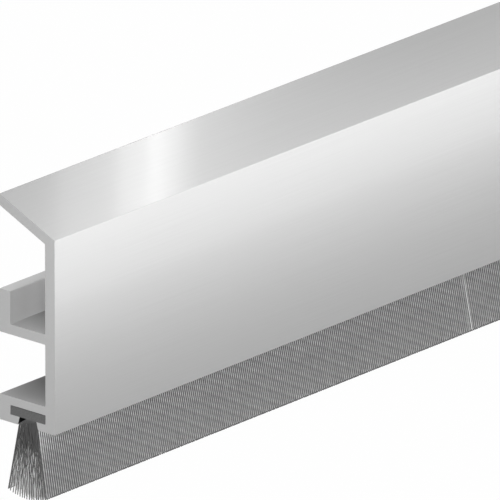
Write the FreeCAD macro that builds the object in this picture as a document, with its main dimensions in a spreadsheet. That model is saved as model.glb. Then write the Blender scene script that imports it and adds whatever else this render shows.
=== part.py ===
import FreeCAD, Part
import math
import os
import Sketcher

# Brush seal strip for the foot of a door. One aluminium extrusion lies against the
# door face and carries a brush in a channel along its lower edge. The brush is laid
# in two lengths that butt together, each with a flat backing that slides into the
# channel and a fan of bristles that hangs through the channel's mouth.
#
# Frame: X runs along the strip with 0 at mid-length, +Y points at the door and
# +Z is up. The origin is the centre of the hook rail's rear face, which lies
# against the door.

# Driving dimensions, in millimetres and degrees.
SIZES = (
    # The holder's section.
    ("strip_length", 150.0, "cut length of the strip"),
    ("holder_depth", 11.0, "front of the web to the door face"),
    ("web_height", 30.7, "underside of the holder to the bend of the top flange"),
    ("web_wall", 1.9, "thickness of the upright web"),
    ("flange_slope", 24.5, "rise of the top flange towards the door, degrees"),
    ("flange_wall", 1.65, "thickness of the top flange, square to its face"),
    ("rail_level", 13.9, "underside of the holder to the underside of the hook rail"),
    ("rail_floor", 1.6, "thickness of the hook rail's floor"),
    ("rail_lip_wall", 2.15, "thickness of the hook rail's upright lip"),
    ("rail_lip_height", 6.8, "height of that lip, with the floor"),
    ("channel_roof", 1.35, "wall above the backing slot"),
    ("channel_rear_wall", 2.15, "wall between the backing slot and the door face"),
    ("channel_lip", 1.27, "thickness of the lips that the backing rests on"),
    ("slot_height", 1.48, "clear height of the backing slot"),
    ("mouth_width", 3.3, "gap between the lips, at the slot"),
    ("mouth_flare", 0.35, "widening of that gap on each side, at the underside"),
    ("corner_radius", 0.15, "rounding of the extruded corners"),
    # The two lengths of brush.
    ("first_brush_length", 97.0, "length of the first brush, from the near end"),
    ("brush_joint_gap", 0.15, "gap between the two brushes"),
    ("backing_side_clearance", 0.075, "backing to each side of its slot"),
    ("backing_top_clearance", 0.08, "backing to the roof of its slot"),
    ("backing_corner_radius", 0.12, "rounding of the backing's long edges"),
    ("root_setback", 0.32, "front edge of the mouth to the bristles, at the backing"),
    ("root_width", 1.6, "width of the bristles where they leave the backing"),
    ("front_shoulder", 0.85, "start of the front flank above the underside"),
    ("rear_shoulder", 0.2, "start of the rear flank above the underside"),
    ("neck_clearance", 0.24, "bristles to each edge of the mouth, at the underside"),
    ("front_splay", 8.6, "lean of the foremost bristles, degrees"),
    ("rear_splay", 11.7, "lean of the rearmost bristles, degrees"),
    ("free_length", 11.1, "underside of the holder to the longest bristle tips"),
    # How the bristles part.
    ("row_count", 5, "rows of bristles across the fan"),
    ("row_parting_depth", 7.0, "length of the partings between the rows"),
    ("row_parting_width", 0.45, "opening of those partings at the tips"),
    ("tuft_pitch", 1.6, "spacing of the tufts along the brush"),
    ("tuft_parting_depth", 9.6, "length of the partings between the tufts"),
    ("tuft_parting_width", 0.35, "opening of those partings at the tips"),
)

# Depths behind the web's front face, as expressions on the sheet.
WEB_FRONT = "0"
WEB_BACK = "sizes.web_wall"
DOOR_FACE = "sizes.holder_depth"
LIP_INSIDE = "(sizes.holder_depth - sizes.rail_lip_wall)"
SLOT_REAR = "(sizes.holder_depth - sizes.channel_rear_wall)"
SLOT_MIDDLE = f"(({WEB_BACK} + {SLOT_REAR}) / 2)"
MOUTH_FRONT = f"({SLOT_MIDDLE} - sizes.mouth_width / 2)"
MOUTH_REAR = f"({SLOT_MIDDLE} + sizes.mouth_width / 2)"
MOUTH_FRONT_BELOW = f"({MOUTH_FRONT} - sizes.mouth_flare)"
MOUTH_REAR_BELOW = f"({MOUTH_REAR} + sizes.mouth_flare)"

# Heights above the holder's underside.
UNDERSIDE = "0"
SLOT_FLOOR = "sizes.channel_lip"
SLOT_ROOF = f"({SLOT_FLOOR} + sizes.slot_height)"
CHANNEL_TOP = f"({SLOT_ROOF} + sizes.channel_roof)"
RAIL_UNDERSIDE = "sizes.rail_level"
RAIL_FLOOR = f"({RAIL_UNDERSIDE} + sizes.rail_floor)"
LIP_TOP = f"({RAIL_UNDERSIDE} + sizes.rail_lip_height)"
LIP_CENTRE = f"({RAIL_UNDERSIDE} + sizes.rail_lip_height / 2)"
BEND = "sizes.web_height"
FLANGE_DROP = "sizes.flange_wall / cos(sizes.flange_slope)"
FLANGE_TIP = f"({BEND} + {DOOR_FACE} * tan(sizes.flange_slope))"
FLANGE_TIP_BELOW = f"({FLANGE_TIP} - {FLANGE_DROP})"
BEND_INSIDE = f"({BEND} + {WEB_BACK} * tan(sizes.flange_slope) - {FLANGE_DROP})"

# The backing, inside its slot.
BACKING_FRONT = f"({WEB_BACK} + sizes.backing_side_clearance)"
BACKING_REAR = f"({SLOT_REAR} - sizes.backing_side_clearance)"
BACKING_TOP = f"({SLOT_ROOF} - sizes.backing_top_clearance)"

# The bristles, which fan out from an apex inside the holder where both flanks meet.
NECK_FRONT = f"({MOUTH_FRONT_BELOW} + sizes.neck_clearance)"
NECK_REAR = f"({MOUTH_REAR_BELOW} - sizes.neck_clearance)"
SPLAY_RUN = "(tan(sizes.front_splay) + tan(sizes.rear_splay))"
APEX_HEIGHT = f"(({NECK_REAR} - {NECK_FRONT}) / {SPLAY_RUN})"
APEX_DEPTH = f"({NECK_FRONT} + {APEX_HEIGHT} * tan(sizes.front_splay))"
TIP_RADIUS = f"({APEX_HEIGHT} + sizes.free_length)"
ROOT_FRONT = f"({MOUTH_FRONT} + sizes.root_setback)"
ROOT_REAR = f"({ROOT_FRONT} + sizes.root_width)"
ROW_ANGLE = "((sizes.front_splay + sizes.rear_splay) / sizes.row_count)"

# Places along the strip.
NEAR_END = "(-sizes.strip_length / 2)"
FIRST_LENGTH = "sizes.first_brush_length"
BRUSH_JOINT = f"({FIRST_LENGTH} + sizes.brush_joint_gap)"
SECOND_START = f"({NEAR_END} + {BRUSH_JOINT})"
SECOND_LENGTH = f"(sizes.strip_length - {BRUSH_JOINT})"

# Each cutter starts this far past the bristle tips, so that it leaves no skin.
OVERRUN = "1"


def make_sheet(document):
    """Spreadsheet with one driving dimension a row: what it is, and its value."""
    sheet = document.addObject("Spreadsheet::Sheet", "sizes")
    for row, (alias, value, meaning) in enumerate(SIZES, start=1):
        sheet.set(f"A{row}", meaning)
        sheet.set(f"B{row}", str(value))
        sheet.setAlias(f"B{row}", alias)
    document.recompute()


def make_body(document, label, near_end):
    """Body that starts at near_end, with its origin at the web's lower front corner."""
    body = document.addObject("PartDesign::Body", label)
    body.Label = label
    body.setExpression("Placement.Base.x", near_end)
    body.setExpression("Placement.Base.y", f"-{DOOR_FACE}")
    body.setExpression("Placement.Base.z", f"-{LIP_CENTRE}")
    return body


def make_sketch(body, name, plane):
    """Empty sketch on one of the body's own origin planes."""
    sketch = body.newObject("Sketcher::SketchObject", name)
    origin_plane = next(f for f in body.Origin.OriginFeatures if f.Role == plane)
    sketch.AttachmentSupport = [(origin_plane, "")]
    sketch.MapMode = "FlatFace"
    return sketch


def bulge(start, end, radius):
    """Middle point of the anticlockwise arc from start to end."""
    chord = end - start
    outward = FreeCAD.Vector(chord.y, -chord.x, 0).normalize()
    rise = radius - math.sqrt(radius**2 - chord.Length**2 / 4)
    return (start + end) / 2 + outward * rise


def trace_outline(sketch, corners, arc_radii=None):
    """Closed outline through corners, which are pairs of expressions (across, up).

    Each corner is dimensioned from the sketch's origin. Where it shares a value with
    the corner before it, a vertical or horizontal edge holds that value instead.
    arc_radii makes an anticlockwise arc of the edge that leaves a numbered corner.
    """
    arc_radii = arc_radii or {}

    def value(expression):
        return float(sketch.evalExpression(expression))

    def constrain(kind, *where):
        return sketch.addConstraint(Sketcher.Constraint(kind, *where))

    places = [FreeCAD.Vector(value(across), value(up), 0) for across, up in corners]
    for index, start in enumerate(places):
        end = places[(index + 1) % len(places)]
        if index in arc_radii:
            middle = bulge(start, end, value(arc_radii[index]))
            sketch.addGeometry(Part.Arc(start, middle, end))
        else:
            sketch.addGeometry(Part.LineSegment(start, end))

    for index, corner in enumerate(corners):
        constrain("Coincident", index - 1 if index else len(corners) - 1, 2, index, 1)
        before = corners[index - 1] if index else (None, None)
        for part, edge, axis, kind in (
            (0, "Vertical", -2, "DistanceX"),
            (1, "Horizontal", -1, "DistanceY"),
        ):
            if corner[part] == before[part]:
                constrain(edge, index - 1)
            elif corner[part] == "0":
                constrain("PointOnObject", index, 1, axis)
            else:
                number = constrain(kind, -1, 1, index, 1, places[index][part])
                sketch.setExpression(f"Constraints[{number}]", corner[part])
    for index, radius in arc_radii.items():
        number = constrain("Radius", index, value(radius))
        sketch.setExpression(f"Constraints[{number}]", radius)


def pad_along(body, sketch, length):
    """Solid of the sketch's section, drawn out along +X."""
    pad = body.newObject("PartDesign::Pad", "Extrusion")
    pad.Profile = sketch
    pad.setExpression("Length", length)
    body.Document.recompute()
    return pad


def round_long_edges(body, solid, radius, wanted):
    """Fillet on the edges along X whose height above the underside is wanted."""
    names = []
    for number, edge in enumerate(solid.Shape.Edges, start=1):
        start, end = (vertex.Point for vertex in edge.Vertexes)
        if abs(end.x - start.x) > edge.Length / 2 and wanted(start.z):
            names.append(f"Edge{number}")
    fillet = body.newObject("PartDesign::Fillet", "Corners")
    fillet.Base = (solid, names)
    fillet.setExpression("Radius", radius)


def make_holder(document):
    """Web, sloping top flange, hook rail and brush channel, in one section."""
    body = make_body(document, "holder_profile", NEAR_END)
    section = make_sketch(body, "Section", "YZ_Plane")
    trace_outline(section, (
        (WEB_FRONT, UNDERSIDE),
        (WEB_FRONT, BEND),
        (DOOR_FACE, FLANGE_TIP),
        (DOOR_FACE, FLANGE_TIP_BELOW),
        (WEB_BACK, BEND_INSIDE),
        (WEB_BACK, RAIL_FLOOR),
        (LIP_INSIDE, RAIL_FLOOR),
        (LIP_INSIDE, LIP_TOP),
        (DOOR_FACE, LIP_TOP),
        (DOOR_FACE, RAIL_UNDERSIDE),
        (WEB_BACK, RAIL_UNDERSIDE),
        (WEB_BACK, CHANNEL_TOP),
        (DOOR_FACE, CHANNEL_TOP),
        (DOOR_FACE, UNDERSIDE),
        (MOUTH_REAR_BELOW, UNDERSIDE),
        (MOUTH_REAR, SLOT_FLOOR),
        (SLOT_REAR, SLOT_FLOOR),
        (SLOT_REAR, SLOT_ROOF),
        (WEB_BACK, SLOT_ROOF),
        (WEB_BACK, SLOT_FLOOR),
        (MOUTH_FRONT, SLOT_FLOOR),
        (MOUTH_FRONT_BELOW, UNDERSIDE),
    ))
    extrusion = pad_along(body, section, "sizes.strip_length")
    slot_levels = [float(section.evalExpression(level)) for level in (SLOT_FLOOR, SLOT_ROOF)]
    round_long_edges(
        body, extrusion, "sizes.corner_radius",
        lambda height: all(abs(height - level) > 1e-6 for level in slot_levels),
    )
    return body


def make_backing(document, label, near_end, length):
    """Flat carrier of one brush, which rests on the lips of the channel."""
    body = make_body(document, label, near_end)
    section = make_sketch(body, "Section", "YZ_Plane")
    trace_outline(section, (
        (BACKING_FRONT, SLOT_FLOOR),
        (BACKING_REAR, SLOT_FLOOR),
        (BACKING_REAR, BACKING_TOP),
        (BACKING_FRONT, BACKING_TOP),
    ))
    extrusion = pad_along(body, section, length)
    round_long_edges(body, extrusion, "sizes.backing_corner_radius", lambda height: True)
    return body


def cut_tapered_parting(body, name, sketch, width, depth, tips, across):
    """Pocket through the whole fan, tapering from its width at the tips to nothing.

    tips is the expression of the tips' place below the sketch's origin, and across
    that of the parting's place beside it.
    """
    root = f"({depth} - {tips})"
    mouth = f"(-{tips} - {OVERRUN})"
    half_mouth = f"({width} / 2 * ({depth} + {OVERRUN}) / {depth})"
    trace_outline(sketch, (
        (across, root),
        (f"({across} - {half_mouth})", mouth),
        (f"({across} + {half_mouth})", mouth),
    ))
    pocket = body.newObject("PartDesign::Pocket", name)
    pocket.Profile = sketch
    pocket.Type = "ThroughAll"
    return pocket


def make_bristles(document, label, near_end, length):
    """Fan of bristles under one backing, parted into tufts and rows at the tips."""
    body = make_body(document, label, near_end)
    section = make_sketch(body, "Fan", "YZ_Plane")
    front_tip = (
        f"({APEX_DEPTH} - {TIP_RADIUS} * sin(sizes.front_splay))",
        f"({APEX_HEIGHT} - {TIP_RADIUS} * cos(sizes.front_splay))",
    )
    rear_tip = (
        f"({APEX_DEPTH} + {TIP_RADIUS} * sin(sizes.rear_splay))",
        f"({APEX_HEIGHT} - {TIP_RADIUS} * cos(sizes.rear_splay))",
    )
    front_neck = (
        f"({NECK_FRONT} + sizes.front_shoulder * tan(sizes.front_splay))",
        "sizes.front_shoulder",
    )
    rear_neck = (
        f"({NECK_REAR} - sizes.rear_shoulder * tan(sizes.rear_splay))",
        "sizes.rear_shoulder",
    )
    corners = (
        (ROOT_FRONT, SLOT_FLOOR),
        front_neck,
        front_tip,
        rear_tip,
        rear_neck,
        (ROOT_REAR, SLOT_FLOOR),
    )
    trace_outline(section, corners, arc_radii={corners.index(front_tip): TIP_RADIUS})
    pad_along(body, section, length)

    tufts = f"round({length} / sizes.tuft_pitch)"
    pitch = f"({length} / {tufts})"
    between_tufts = make_sketch(body, "BetweenTufts", "XZ_Plane")
    parting = cut_tapered_parting(
        body, "TuftParting", between_tufts, "sizes.tuft_parting_width",
        "sizes.tuft_parting_depth", "sizes.free_length", pitch,
    )
    parting.Midplane = True
    document.recompute()
    all_tufts = body.newObject("PartDesign::LinearPattern", "TuftPartings")
    all_tufts.Originals = [parting]
    all_tufts.Direction = (between_tufts, ["H_Axis"])
    all_tufts.setExpression("Length", f"{pitch} * ({tufts} - 2)")
    all_tufts.setExpression("Occurrences", f"{tufts} - 1")
    body.Tip = all_tufts
    document.recompute()

    between_rows = make_sketch(body, "BetweenRows", "YZ_Plane")
    between_rows.setExpression("AttachmentOffset.Base.x", APEX_DEPTH)
    between_rows.setExpression("AttachmentOffset.Base.y", APEX_HEIGHT)
    between_rows.setExpression(
        "AttachmentOffset.Rotation.Angle", f"({ROW_ANGLE} - sizes.front_splay) * 1 deg"
    )
    parting = cut_tapered_parting(
        body, "RowParting", between_rows, "sizes.row_parting_width",
        "sizes.row_parting_depth", TIP_RADIUS, "0",
    )
    parting.Reversed = True
    document.recompute()
    all_rows = body.newObject("PartDesign::PolarPattern", "RowPartings")
    all_rows.Originals = [parting]
    all_rows.Axis = (between_rows, ["N_Axis"])
    all_rows.setExpression("Angle", f"{ROW_ANGLE} * (sizes.row_count - 2)")
    all_rows.setExpression("Occurrences", "sizes.row_count - 1")
    body.Tip = all_rows
    return body


def check_model(document, bodies):
    """Stop with a plain message if a feature failed or a piece has no sound solid."""
    for item in document.Objects:
        if {"Invalid", "Error"} & set(item.State):
            raise RuntimeError(f"{item.Label} failed: {item.State}")
    for body in bodies:
        if body.Shape.isNull() or not body.Shape.isValid() or len(body.Shape.Solids) != 1:
            raise RuntimeError(f"{body.Label} isn't one valid solid")


def main():
    document = FreeCAD.newDocument("brush_seal_strip")
    make_sheet(document)
    bodies = [
        make_holder(document),
        make_backing(document, "long_brush_backing", NEAR_END, FIRST_LENGTH),
        make_bristles(document, "long_brush_bristles", NEAR_END, FIRST_LENGTH),
        make_backing(document, "short_brush_backing", SECOND_START, SECOND_LENGTH),
        make_bristles(document, "short_brush_bristles", SECOND_START, SECOND_LENGTH),
    ]
    document.recompute()
    check_model(document, bodies)
    os.makedirs("parts", exist_ok=True)
    for body in bodies:
        body.Shape.exportStep(f"parts/{body.Label}.step")
        print(body.Label, round(body.Shape.Volume, 2), "mm3")


main()
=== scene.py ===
import math
import random

import bpy
from mathutils import Matrix, Vector


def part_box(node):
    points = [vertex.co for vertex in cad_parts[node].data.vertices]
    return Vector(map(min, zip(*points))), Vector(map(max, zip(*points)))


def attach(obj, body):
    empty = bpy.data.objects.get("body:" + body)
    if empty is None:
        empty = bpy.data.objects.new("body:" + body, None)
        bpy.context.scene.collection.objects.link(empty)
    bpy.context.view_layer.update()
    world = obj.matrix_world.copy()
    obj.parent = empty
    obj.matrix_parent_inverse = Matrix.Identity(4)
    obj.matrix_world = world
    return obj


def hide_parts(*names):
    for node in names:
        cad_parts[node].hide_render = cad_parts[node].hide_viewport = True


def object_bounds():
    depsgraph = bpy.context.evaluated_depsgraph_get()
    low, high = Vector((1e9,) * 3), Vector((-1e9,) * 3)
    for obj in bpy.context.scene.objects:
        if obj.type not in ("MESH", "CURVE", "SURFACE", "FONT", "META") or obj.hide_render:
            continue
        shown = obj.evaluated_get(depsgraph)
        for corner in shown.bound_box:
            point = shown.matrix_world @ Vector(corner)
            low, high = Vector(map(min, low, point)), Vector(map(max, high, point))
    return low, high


# Looks of a brush seal strip: a satin aluminium holder that carries two lengths of
# dark bristle brush. Metres throughout, in the frame of the part: X along the strip,
# +Y towards the door, +Z up.

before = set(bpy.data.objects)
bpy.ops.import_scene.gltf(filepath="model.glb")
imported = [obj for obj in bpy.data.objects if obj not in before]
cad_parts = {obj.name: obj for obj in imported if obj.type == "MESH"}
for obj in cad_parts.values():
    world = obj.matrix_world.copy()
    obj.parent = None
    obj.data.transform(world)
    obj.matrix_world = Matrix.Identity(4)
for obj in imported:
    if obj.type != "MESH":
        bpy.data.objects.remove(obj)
cad_low, cad_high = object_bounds()

MM = 0.001
random.seed(11)

# Where the holder stands and how far the brush reaches below it, from the frame.
HOLDER_LOW, HOLDER_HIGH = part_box("holder_profile")
WEB_FRONT_Y = HOLDER_LOW.y
UNDERSIDE_Z = HOLDER_LOW.z
FREE_LENGTH = UNDERSIDE_Z - cad_low.z

# View of the photograph, which is 500 pixels square and drawn in parallel projection. A
# long lens comes near it.
PICTURE = 500
PIXELS_PER_METRE = 6694
VIEW_AZIMUTH = -48.97
VIEW_ELEVATION = 19.83
LENS = 1700
SENSOR = 36
# The point of the web's front face in the middle of the picture, from the near end and
# from the underside.
AIM_ALONG = 44.03 * MM
AIM_HEIGHT = 17.32 * MM

# Light from all sides, and a floor well below the strip that shows nearly white.
FILL_LIGHT = 0.15
FLOOR_DROP = 120 * MM
FLOOR_HALF = 4.0
FLOOR_SHADE = 0.8
FLOOR_GLOW = 0.985

# Strips that the sloping flange mirrors as one glint: name, place along the strip, reach
# from the flange, width and radiance.
FLANGE_SLOPE = math.radians(24.5)
GLINTS = (
    ("core_strip", 28.6 * MM, 56 * MM, 2.4 * MM, 3.4),
    ("inner_strip", 27 * MM, 58 * MM, 9.5 * MM, 3.2),
    ("outer_strip", 21.6 * MM, 60 * MM, 21 * MM, 2.0),
)
GLINT_LENGTH = 26 * MM
# How far below the flange's top the glint's middle is, and its way along for each step back.
GLINT_DROP = 2.5 * MM
GLINT_SLANT = 1.1525
# Long panels that the web mirrors: name, lower and upper edge, reach from the web and
# radiance.
WEB_PANELS = (
    ("tall_panel", -6.4 * MM, 38 * MM, 17 * MM, 0.9),
    ("short_panel", 5.5 * MM, 20 * MM, 20.5 * MM, 1.63),
)
PANEL_X = 40 * MM
PANEL_LENGTH = 290 * MM
# Square boxes far off: name, bearing, height angle and radiance.
SOFT_BOXES = (
    ("key_box", -57, 16, 5.1),
    ("top_box", 0, 88, 2.05),
    ("rear_box", 180, 6, 6.0),
)
BOX_DISTANCE = 1.5
BOX_SIZE = 1.0
ALONG_STRIP = Vector((1, 0, 0))

# How squarely a face looks along an axis before it counts as facing that way, from 0 to 1.
HOLDER_FACES = 0.7
CUT_END_FACES = 0.9
FILAMENT_FACES = 0.5

# Places on the holder with painted light or shade of their own: the hook lip, which lies behind
# its inner face, with its top, and the groove's floor, each with how far off it is still told.
LIP_FACE_Y = -2.3 * MM
LIP_TOP_Z = 3.4 * MM
LIP_TOP_BAND = 0.3 * MM
GROOVE_FLOOR_Z = -1.85 * MM
GROOVE_FLOOR_BAND = 0.1 * MM
# The recess whose roof has painted shade, and the slot's mouth, which the bristles fill.
RECESS_TOP_Z = -9.5 * MM
MOUTH_Y = -5.625 * MM
MOUTH_HALF = 2.02 * MM
MOUTH_TOP_Z = -14.4 * MM
# Stretches, as distances from the nearer open end, over which the painted light and shade
# change.
SHALLOW = (0, 3.5 * MM)
DEEP = (3.5 * MM, 8 * MM)
ROOF_SHADE_STRETCH = (-1 * MM, 9 * MM)
ROOF_SHADE_AT_END = 0.35

# Grain, in waves to the metre: for lines that run one way, along X, Y and Z.
DIE_LINES = (30, 9000, 9000)
CLOUDS = 60
MOULDED_GRAIN = 4000
FILAMENT_GRAIN = (4000, 4000, 120)

# Shades, from 0, black, to 1, white. A pair is the range of a grain. Of the painted light on the
# hook lip's inside and the painted shade on the groove's floor: at an open end, where SHALLOW
# ends and where DEEP ends.
ALUMINIUM = (0.38, 0.40)
# Painted highlight on the hook lip's top.
LIP_TOP_LIGHT = 0.53
LIP_INSIDE = (0.43, 0.55, 0.82)
GROOVE_FLOOR = (0.5, 0.42, 0.32)
# Painted shade on the channel's roof and in the slot's mouth.
ROOF_SHADE = 0.17
SLOT_INSIDE = 0.005
# The backing's moulded plastic.
PLASTIC = (0.07, 0.098)

# The filaments of the brush.
FILAMENT_WIDTH = 0.18 * MM
FILAMENT_PITCH = 0.427 * MM
# Where the rows stand, from the front face to the rear one, which has two that alternate,
# and how far off its place a filament between them may be, as a share of a step.
ROW_STEPS = 16
ROWS = [step / ROW_STEPS for step in range(ROW_STEPS + 1)] + [1]
ROW_JITTER = 0.12
TIP_WANDER = 0.02 * MM
SIDE_SHORTFALL = 0.02 * MM
# The tips are trimmed to a belly: deepest in the middle rows, a little short at the front.
BELLY = 0.5 * MM
BELLY_POWER = 0.75
FRONT_TRIM = 0.1 * MM
# The tips lean along the strip, less and less within a run of its two cut ends.
TIP_LEAN = 0.75 * MM
LEAN_RUN = 8 * MM
# At a cut end the filaments between the faces are thinner, crimped and less evenly cut.
CUT_DEPTH = 1.8 * MM
CUT_WIDTH = 0.14 * MM
CUT_SHORTFALL = 0.12 * MM
CRIMP = 0.1 * MM
CRIMP_STEPS = 28
CRIMP_TURNS = 4.5

# Section of the fan. Root, at the backing, and neck, in the slot's mouth, as places
# behind the web's front face. Shoulders, where the rows start to splay, as heights above
# the holder's underside.
ROOT_BACK = 4.06 * MM
ROOT_WIDTH = 1.6 * MM
NECK_BACK = 3.8 * MM
NECK_WIDTH = 3.34 * MM
FRONT_SHOULDER = 0.85 * MM
REAR_SHOULDER = 0.2 * MM
FRONT_SPLAY = math.radians(8.6)
REAR_SPLAY = math.radians(11.7)
FRONT_TAN = math.tan(FRONT_SPLAY)
REAR_TAN = math.tan(REAR_SPLAY)
# The lines that the front and rear rows lean from meet in an apex above the slot.
NECK_FRONT = WEB_FRONT_Y + NECK_BACK - FRONT_SHOULDER * FRONT_TAN
NECK_REAR = WEB_FRONT_Y + NECK_BACK + NECK_WIDTH + REAR_SHOULDER * REAR_TAN
APEX_RISE = (NECK_REAR - NECK_FRONT) / (FRONT_TAN + REAR_TAN)
APEX = Vector((0, NECK_FRONT + APEX_RISE * FRONT_TAN, UNDERSIDE_Z + APEX_RISE))

# Strands that the cut ends show, by how far in they lie: the dark ones of painted shade, how
# much deeper those go in the neck, and the pale ones of painted light behind.
END_STRANDS = 0.28 * MM
NECK_STRANDS = 1 * MM
PALE_STRANDS = 1.9 * MM
# How much less than the front row, or the rear row, a strand between them leans, as a
# tangent, and how much less than the front row the first pale one does.
FRONT_ROW_LEAN = 0.013
REAR_ROW_LEAN = 0.014
PALE_ROW_LEAN = 0.05
# The painted highlight along the butt joint between the two brushes, where it leaves the holder.
JOINT_ALONG = 21.85 * MM
JOINT_HALF = 0.13 * MM
# Height of the dark tips.
TIP_BAND = 0.54 * MM
# Drops below the holder over which the brush's painted light and shade change. The slot is above
# it.
SIDE_DROP = (0.8 * MM, 5 * MM)
NECK_DROP = (1.5 * MM, 4.4 * MM)
END_DROP = (3.4 * MM, 9 * MM)
SLOT_DROP = (-0.2 * MM, -0.5 * MM)
# Broad and narrow bands of painted light and shade aslant over the brush: their length along the
# strip and down, and their strengths.
BANDS_ALONG = 3.77 * MM
BANDS_DOWN = 1.94 * MM
BROAD_BANDS = 0.06
NARROW_BANDS = 0.09
# Shades of the brush, most of them painted light or shade. A pair is from the top to the foot of
# its drop.
SIDE_SHADES = (0.75, 0.41)
STRAND_CONTRAST = 0.25
INNER_SHADE = 0.12
END_SHADES = (0.066, 0.12)
PALE_SHADE = 0.95
PALE_SHARES = (0.03, 0.48)
PALE_GRAINS = (0.5, 0.45)
JOINT_SHADE = 0.75
TIP_SHADE = 0.10
HIDDEN_SHADE = 0.01


class Wire:
    """Output of a shader node. Operators on it add Math nodes to its tree."""

    def __init__(self, board, socket):
        self.board = board
        self.socket = socket

    def _maths(self, operation, *terms):
        node = self.board.add(
            "ShaderNodeMath", {"operation": operation}, dict(enumerate(terms))
        )
        return node["Value"]

    def __add__(self, other):
        return self._maths("ADD", self, other)

    def __sub__(self, other):
        return self._maths("SUBTRACT", self, other)

    def __rsub__(self, other):
        return self._maths("SUBTRACT", other, self)

    def __mul__(self, other):
        return self._maths("MULTIPLY", self, other)

    def __truediv__(self, other):
        return self._maths("DIVIDE", self, other)

    __radd__ = __add__
    __rmul__ = __mul__

    def __abs__(self):
        return self._maths("ABSOLUTE", self)

    def sine(self):
        return self._maths("SINE", self)

    def larger(self, other):
        return self._maths("MAXIMUM", self, other)

    def above(self, limit):
        """1 above the limit, 0 elsewhere."""
        return self._maths("GREATER_THAN", self, limit)

    def up_to(self, limit):
        """1 up to the limit, 0 elsewhere."""
        return 1 - self.above(limit)

    def near(self, middle, reach):
        """1 up to the reach from the middle, 0 elsewhere."""
        return abs(self - middle).up_to(reach)


class Board:
    """Node tree of one material or of the world, empty at first."""

    def __init__(self, tree):
        self.tree = tree
        tree.nodes.clear()

    def add(self, kind, settings=None, inputs=None):
        """Add a node with its settings first, then its inputs. Gives its outputs."""
        node = self.tree.nodes.new(kind)
        for name, value in (settings or {}).items():
            if name == "stops":
                self._set_stops(node.color_ramp, value)
            else:
                setattr(node, name, value)
        for name, value in (inputs or {}).items():
            socket = self._socket(node, name)
            if isinstance(value, Wire):
                self.tree.links.new(value.socket, socket)
            else:
                socket.default_value = value
        return {socket.name: Wire(self, socket) for socket in node.outputs if socket.enabled}

    @staticmethod
    def _socket(node, name):
        """Input by its number, or by the name of one that the settings leave in use."""
        if isinstance(name, int):
            return node.inputs[name]
        return next(s for s in node.inputs if s.name == name and s.enabled)

    @staticmethod
    def _set_stops(ramp, stops):
        while len(ramp.elements) < len(stops):
            ramp.elements.new(1.0)
        for element, (place, shade) in zip(ramp.elements, stops):
            element.position = place
            element.color = grey(shade)

    def place(self):
        """Where on the object the shader is, in metres."""
        return self.add("ShaderNodeTexCoord")["Object"]

    def facing(self):
        """Which way the surface faces."""
        return self.add("ShaderNodeNewGeometry")["Normal"]

    def parts(self, vector):
        """The x, y and z of a vector."""
        parts = self.add("ShaderNodeSeparateXYZ", None, {"Vector": vector})
        return parts["X"], parts["Y"], parts["Z"]

    def stretched(self, here, scale):
        """The place, scaled by a vector, for grain that runs one way."""
        return self.add(
            "ShaderNodeVectorMath", {"operation": "MULTIPLY"}, {0: here, 1: scale}
        )["Vector"]

    def noise(self, here, scale, detail):
        """Grain from about 0.3 to 0.7."""
        return self.add(
            "ShaderNodeTexNoise", None, {"Vector": here, "Scale": scale, "Detail": detail}
        )["Fac"]

    def ramp_up(self, value, start, end):
        """0 up to the start, 1 from the end on, and straight between them."""
        return self.add(
            "ShaderNodeMapRange", {"clamp": True},
            {"Value": value, "From Min": start, "From Max": end},
        )["Result"]

    def blend(self, share, first, second):
        """Colour that goes from the first to the second as share goes from 0 to 1."""
        return self.add(
            "ShaderNodeMix", {"data_type": "RGBA"}, {"Factor": share, "A": first, "B": second}
        )["Result"]

    def tone(self, shade):
        """Grey of a shade that is worked out."""
        return self.blend(shade, grey(0), grey(1))

    def mottled(self, grain, shades):
        """Grey that goes from one shade to the other over the range of a grain."""
        low, high = shades
        return self.add(
            "ShaderNodeValToRGB", {"stops": [(0.3, low), (0.7, high)]}, {"Fac": grain}
        )["Color"]

    def bump(self, height, strength, depth):
        """Normal of a fine relief."""
        return self.add(
            "ShaderNodeBump", None, {"Height": height, "Strength": strength, "Distance": depth}
        )["Normal"]

    def coat(self, sockets):
        """Make these sockets of a Principled shader the surface."""
        surface = self.add("ShaderNodeBsdfPrincipled", None, sockets)["BSDF"]
        self.add("ShaderNodeOutputMaterial", None, {"Surface": surface})


def grey(shade):
    return (shade, shade, shade, 1)


def between(share, start, end):
    """Number that goes from the start to the end as share goes from 0 to 1."""
    return start + (end - start) * share


def through(shares, levels):
    """Number that goes from level to level as each share in turn goes from 0 to 1."""
    number = levels[0]
    for share, start, end in zip(shares, levels, levels[1:]):
        number = number + (end - start) * share
    return number


def from_end(x):
    """How far a place is from the nearer open end of the strip."""
    return HOLDER_HIGH.x - abs(x)


def new_board(name):
    material = bpy.data.materials.new(name)
    material.use_nodes = True
    return material, Board(material.node_tree)


def new_object(name, data):
    """Put a mesh, lamp or camera in the scene."""
    thing = bpy.data.objects.new(name, data)
    bpy.context.collection.objects.link(thing)
    return thing


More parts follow.
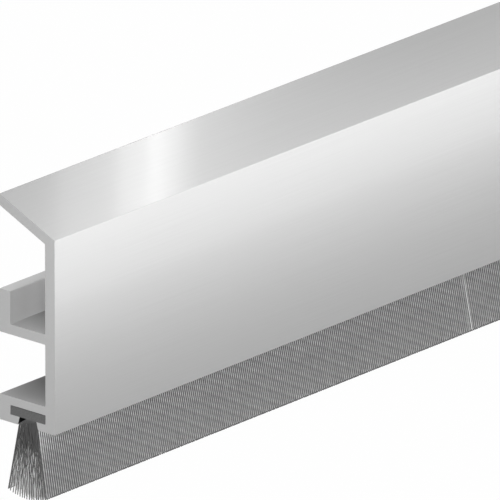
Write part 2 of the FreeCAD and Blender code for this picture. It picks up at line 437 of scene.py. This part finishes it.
def holder_finish():
    """Satin anodised aluminium with die lines, painted light on the hook lip and painted shade
    in the groove, the recess and the slot.
    """
    material, board = new_board("anodised_aluminium")
    here = board.place()
    x, y, z = board.parts(here)
    face_x, face_y, face_z = board.parts(board.facing())
    upward = face_z.above(HOLDER_FACES)
    lines = board.noise(board.stretched(here, DIE_LINES), 1, 3)
    cloud = board.noise(here, CLOUDS, 2)
    shade = board.mottled(lines, ALUMINIUM)
    # Painted highlight along the top of the hook lip.
    lit_lip_top = upward * y.above(LIP_FACE_Y) * z.near(LIP_TOP_Z, LIP_TOP_BAND)
    shade = board.blend(lit_lip_top, shade, grey(LIP_TOP_LIGHT))
    # Painted light on the lip's inside, brighter away from the open ends, and painted shade on
    # the groove's floor, darker away from them.
    inward = from_end(x)
    stretches = board.ramp_up(inward, *SHALLOW), board.ramp_up(inward, *DEEP)
    in_lip = (-1 * face_y).above(HOLDER_FACES) * y.above(LIP_FACE_Y) * z.above(GROOVE_FLOOR_Z)
    shade = board.blend(in_lip, shade, board.tone(through(stretches, LIP_INSIDE)))
    on_floor = upward * z.near(GROOVE_FLOOR_Z, GROOVE_FLOOR_BAND)
    shade = board.blend(on_floor, shade, board.tone(through(stretches, GROOVE_FLOOR)))
    # Painted shade in clouds on the channel's roof, darkest away from the open ends, where it
    # also takes the shine off.
    roof_shade_depth = between(board.ramp_up(inward, *ROOF_SHADE_STRETCH), ROOF_SHADE_AT_END, 1)
    shaded_roof = upward * z.up_to(RECESS_TOP_Z) * roof_shade_depth * between(cloud, 0.8, 1.2)
    shade = board.blend(shaded_roof, shade, grey(ROOF_SHADE))
    # Painted shade in the slot's mouth, apart from the cut ends of its lips.
    cut_end = abs(face_x).above(CUT_END_FACES)
    slot = y.near(MOUTH_Y, MOUTH_HALF) * z.up_to(MOUTH_TOP_Z) * (1 - cut_end)
    shade = board.blend(slot, shade, grey(SLOT_INSIDE))
    board.coat({
        "Base Color": shade,
        "Metallic": 0.35 * (1 - shaded_roof),
        "Roughness": 0.45 + 0.06 * lines + 0.05 * cloud + 0.3 * (shaded_roof + slot),
        "IOR": 1.35,
        "Normal": board.bump(lines, 0.12, 0.02 * MM),
        "Coat Weight": 0.5 * (1 - shaded_roof) * (1 - slot),
        "Coat Roughness": 0.13,
    })
    return material


def backing_finish():
    """Dark grey moulded plastic."""
    material, board = new_board("backing_plastic")
    grain = board.noise(board.place(), MOULDED_GRAIN, 3)
    board.coat({
        "Base Color": board.mottled(grain, PLASTIC),
        "Roughness": 0.6 + 0.1 * grain,
        "Normal": board.bump(grain, 0.3, 0.05 * MM),
    })
    return material


def filament_finish():
    """Grey nylon filament with painted light and shade: dark strands at the cut ends, pale ones
    showing behind them.
    """
    material, board = new_board("nylon_filament")
    here = board.place()
    x, y, z = board.parts(here)
    face_x, face_y, face_z = board.parts(board.facing())
    strand = board.noise(board.stretched(here, FILAMENT_GRAIN), 1, 2)
    inward = from_end(x)
    below = UNDERSIDE_Z - z
    # The faces have painted light, paler close under the holder where less light reaches, and
    # painted bands of light and shade aslant over them.
    side = between(board.ramp_up(below, *SIDE_DROP), *SIDE_SHADES)
    turn = (x / BANDS_ALONG + z / BANDS_DOWN) * math.tau
    bands = 1 + BROAD_BANDS * turn.sine() + NARROW_BANDS * (2 * turn).sine()
    shade = board.tone((side + STRAND_CONTRAST * (strand - 0.5)) * bands)
    # Painted shade on the strands between the front and rear rows, which are told by their lean
    # from the apex.
    lean = (y - APEX.y) / (APEX.z - z)
    inner = lean.above(FRONT_ROW_LEAN - FRONT_TAN) * lean.up_to(REAR_TAN - REAR_ROW_LEAN)
    shade = board.blend(inner, shade, grey(INNER_SHADE))
    # The front side of the rear row, which shows between them at a cut end, counts with them
    # there.
    rear_front = lean.above(REAR_TAN - REAR_ROW_LEAN) * (-1 * face_y).above(FILAMENT_FACES)
    inside = inner.larger(rear_front)
    # Painted light on the strands behind the dark ones of a cut end, further down.
    down = board.ramp_up(below, *NECK_DROP)
    lower = board.ramp_up(below, *END_DROP)
    behind = inward.up_to(PALE_STRANDS) * down * lean.above(PALE_ROW_LEAN - FRONT_TAN)
    bright = (strand - between(lower, *PALE_GRAINS)).above(0)
    pale = between(bright, between(lower, *PALE_SHARES), 1)
    shade = board.blend(inside * behind * pale, shade, grey(PALE_SHADE))
    # Painted shade on the strands of a cut end, deeper in at the neck.
    dark_depth = END_STRANDS + NECK_STRANDS * inside * (1 - down)
    end_shade = board.tone(between(lower, *END_SHADES))
    shade = board.blend((inward - dark_depth).up_to(0), shade, end_shade)
    # Painted highlight along the butt joint, which leans as the tips do.
    leant = x - TIP_LEAN / FREE_LENGTH * below
    shade = board.blend(leant.near(JOINT_ALONG, JOINT_HALF), shade, grey(JOINT_SHADE))
    # The tips of the front and rear rows are darker along a band at the foot, and painted shade
    # fills the slot, where little light gets in.
    tips = z.up_to(cad_low.z + TIP_BAND) * (1 - inner)
    shade = board.blend(tips, shade, grey(TIP_SHADE))
    hidden = board.ramp_up(below, *SLOT_DROP) * inward.above(END_STRANDS)
    shade = board.blend(hidden, shade, grey(HIDDEN_SHADE))
    board.coat({
        "Base Color": shade,
        "Roughness": 0.45 + 0.2 * strand,
        "Normal": board.bump(strand, 0.1, 0.01 * MM),
    })
    return material


def filament_path(across, x, tip_x, reach, root_z, crimp):
    """Points of one filament: root, neck and a tip at the reach from the apex."""
    root = Vector((x, WEB_FRONT_Y + ROOT_BACK + ROOT_WIDTH * across, root_z))
    shoulder_z = UNDERSIDE_Z + between(across, FRONT_SHOULDER, REAR_SHOULDER)
    neck = Vector((x, WEB_FRONT_Y + NECK_BACK + NECK_WIDTH * across, shoulder_z))
    lean = between(across, -FRONT_SPLAY, REAR_SPLAY)
    tip = Vector((tip_x, APEX.y + reach * math.sin(lean), APEX.z - reach * math.cos(lean)))
    # With a crimp, more points between neck and tip wave back and forth.
    points = [root, neck]
    steps = CRIMP_STEPS if crimp else 1
    start = random.uniform(0, math.tau)
    for step in range(1, steps):
        share = step / steps
        swell = crimp * math.sin(math.pi * share)
        wave = swell * math.sin(start + share * CRIMP_TURNS * math.tau)
        points.append(neck.lerp(tip, share) + Vector((0, wave, 0)))
    points.append(tip)
    return points


def filament_tube(points, width, verts, faces):
    """Closed tube round the points, square in section with its flats along X and Y."""
    sides = 4
    first = len(verts)
    for point in points:
        for side in range(sides):
            angle = math.pi / 4 + side * math.tau / sides
            verts.append(point + Vector((math.cos(angle), math.sin(angle), 0)) * width / 2)
    for ring in range(len(points) - 1):
        for side in range(sides):
            a = first + ring * sides + side
            b = first + ring * sides + (side + 1) % sides
            faces.append((b, a, a + sides, b + sides))
    faces.append(tuple(first + side for side in range(sides)))
    last = first + (len(points) - 1) * sides
    faces.append(tuple(last + side for side in reversed(range(sides))))


def brush_filaments(low, high):
    """Corners and faces of all filaments of the brush in the box from low to high."""
    verts, faces = [], []
    half = FILAMENT_WIDTH / 2
    count = round((high.x - low.x) / FILAMENT_PITCH)
    pitch = (high.x - low.x - FILAMENT_WIDTH) / count
    for column in range(count + 1):
        for row, across in enumerate(ROWS):
            outer = across in (0, 1)
            if not outer:
                across += random.uniform(-ROW_JITTER, ROW_JITTER) / ROW_STEPS
            # Odd rows stand half a pitch on, but between the faces the first column is flush.
            stagger = 0.5 * (row % 2) if column > 0 or outer else 0
            x = min(low.x + half + (column + stagger) * pitch, high.x - half)
            inward = from_end(x)
            cut = inward < CUT_DEPTH and not outer
            wander = 0 if outer else random.gauss(0, TIP_WANDER)
            tip_x = x + wander + TIP_LEAN * min(1, inward / LEAN_RUN)
            tip_x = min(max(tip_x, HOLDER_LOW.x + half), HOLDER_HIGH.x - half)
            trim = -random.random() * (CUT_SHORTFALL if cut else SIDE_SHORTFALL)
            trim += BELLY * math.sin(math.pi * across) ** BELLY_POWER - FRONT_TRIM * (1 - across)
            reach = APEX.z - low.z + trim
            points = filament_path(across, x, tip_x, reach, high.z, CRIMP if cut else 0)
            filament_tube(points, CUT_WIDTH if cut else FILAMENT_WIDTH, verts, faces)
    return verts, faces


def make_bristles(node, finish):
    """Separate filaments in place of the plain fan of one brush."""
    verts, faces = brush_filaments(*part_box(node))
    mesh = bpy.data.meshes.new(node + "_filaments")
    mesh.from_pydata([tuple(v) for v in verts], [], faces)
    mesh.update()
    mesh.materials.append(finish)
    piece = new_object(node + "_filaments", mesh)
    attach(piece, "root")
    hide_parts(node)


def dress_node(node, finish):
    """Give a carried-over solid its finish."""
    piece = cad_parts[node]
    piece.data.materials.clear()
    piece.data.materials.append(finish)


def direction(azimuth, elevation):
    """Unit vector towards a bearing round the strip, 0 in front, and a height."""
    turn, rise = math.radians(azimuth), math.radians(elevation)
    return Vector((
        math.sin(turn) * math.cos(rise), -math.cos(turn) * math.cos(rise), math.sin(rise)
    ))


def make_camera():
    """Camera at the photograph's angle, far off behind a long lens."""
    target = Vector((HOLDER_LOW.x + AIM_ALONG, WEB_FRONT_Y, UNDERSIDE_Z + AIM_HEIGHT))
    distance = PICTURE / PIXELS_PER_METRE * LENS / SENSOR
    data = bpy.data.cameras.new("camera")
    data.lens = LENS
    data.sensor_width = SENSOR
    data.clip_start = distance * 0.1
    data.clip_end = distance * 10
    camera = new_object("camera", data)
    camera.location = target + direction(VIEW_AZIMUTH, VIEW_ELEVATION) * distance
    camera.rotation_mode = "QUATERNION"
    camera.rotation_quaternion = (target - camera.location).to_track_quat("-Z", "Y")
    bpy.context.scene.camera = camera


def background_mask(board):
    """1 for rays that should meet the plain white surround."""
    path = board.add("ShaderNodeLightPath")
    seen = path["Is Camera Ray"].larger(path["Is Glossy Ray"])
    return seen.larger(path["Is Transmission Ray"])


def make_world():
    """White surround that lights the strip faintly from all sides."""
    world = bpy.data.worlds.new("surround")
    world.use_nodes = True
    bpy.context.scene.world = world
    board = Board(world.node_tree)
    level = between(background_mask(board), FILL_LIGHT, 1)
    light = board.add("ShaderNodeBackground", None, {"Color": grey(1), "Strength": level})
    board.add("ShaderNodeOutputWorld", None, {"Surface": light["Background"]})


def make_floor():
    """Pale floor that keeps a little of the strip's shadow."""
    material, board = new_board("pale_floor")
    matt = board.add("ShaderNodeBsdfDiffuse", None, {"Color": grey(FLOOR_SHADE)})["BSDF"]
    glow = board.add("ShaderNodeEmission", None, {"Color": grey(1), "Strength": 1})["Emission"]
    mixed = board.add(
        "ShaderNodeMixShader", None, {0: FLOOR_GLOW * background_mask(board), 1: matt, 2: glow}
    )["Shader"]
    board.add("ShaderNodeOutputMaterial", None, {"Surface": mixed})
    floor_z = cad_low.z - FLOOR_DROP
    quarters = ((-1, -1), (1, -1), (1, 1), (-1, 1))
    corners = [(x * FLOOR_HALF, y * FLOOR_HALF, floor_z) for x, y in quarters]
    mesh = bpy.data.meshes.new("floor")
    mesh.from_pydata(corners, [], [(0, 1, 2, 3)])
    mesh.materials.append(material)
    new_object("floor", mesh)


def make_lamp(name, place, target, along, length, width, radiance):
    """Rectangular lamp that faces the target, with its length turned to along."""
    data = bpy.data.lights.new(name, "AREA")
    data.shape = "RECTANGLE"
    data.size = length
    data.size_y = width
    data.energy = radiance * math.pi * length * width
    lamp = new_object(name, data)
    back = (place - target).normalized()
    side = (along - back * along.dot(back)).normalized()
    turn = Matrix((side, back.cross(side), back)).transposed()
    lamp.matrix_world = Matrix.Translation(place) @ turn.to_4x4()
    lamp.visible_camera = False


def mirrored(normal):
    """Where a face with this normal sends the line of sight."""
    back = direction(VIEW_AZIMUTH, VIEW_ELEVATION)
    return 2 * normal.dot(back) * normal - back


def make_glint_strips():
    """Strips that the camera sees mirrored in the flange."""
    flange = Vector((0, -math.sin(FLANGE_SLOPE), math.cos(FLANGE_SLOPE)))
    slant = Vector((GLINT_SLANT, 1, math.tan(FLANGE_SLOPE)))
    for name, along_strip, reach, width, radiance in GLINTS:
        glint = Vector((HOLDER_LOW.x + along_strip, WEB_FRONT_Y / 2, HOLDER_HIGH.z - GLINT_DROP))
        place = glint + mirrored(flange) * reach
        make_lamp(name, place, glint, slant, GLINT_LENGTH, width, radiance)


def make_web_panels():
    """Panels in front of the web, which mirrors them from top to foot."""
    for name, low, high, reach, radiance in WEB_PANELS:
        place = Vector((PANEL_X, WEB_FRONT_Y - reach, (low + high) / 2))
        target = place + Vector((0, 1, 0))
        make_lamp(name, place, target, ALONG_STRIP, PANEL_LENGTH, high - low, radiance)


def make_soft_boxes():
    """Boxes for the cut end, the upper faces and the rear."""
    for name, azimuth, elevation, radiance in SOFT_BOXES:
        place = BOX_DISTANCE * direction(azimuth, elevation)
        make_lamp(name, place, Vector((0, 0, 0)), ALONG_STRIP, BOX_SIZE, BOX_SIZE, radiance)


make_camera()
metal = holder_finish()
plastic = backing_finish()
nylon = filament_finish()
dress_node("holder_profile", metal)
for name in ("long", "short"):
    dress_node(name + "_brush_backing", plastic)
    make_bristles(name + "_brush_bristles", nylon)
make_world()
make_floor()
make_glint_strips()
make_web_panels()
make_soft_boxes()
bpy.context.scene.view_settings.view_transform = "Standard"
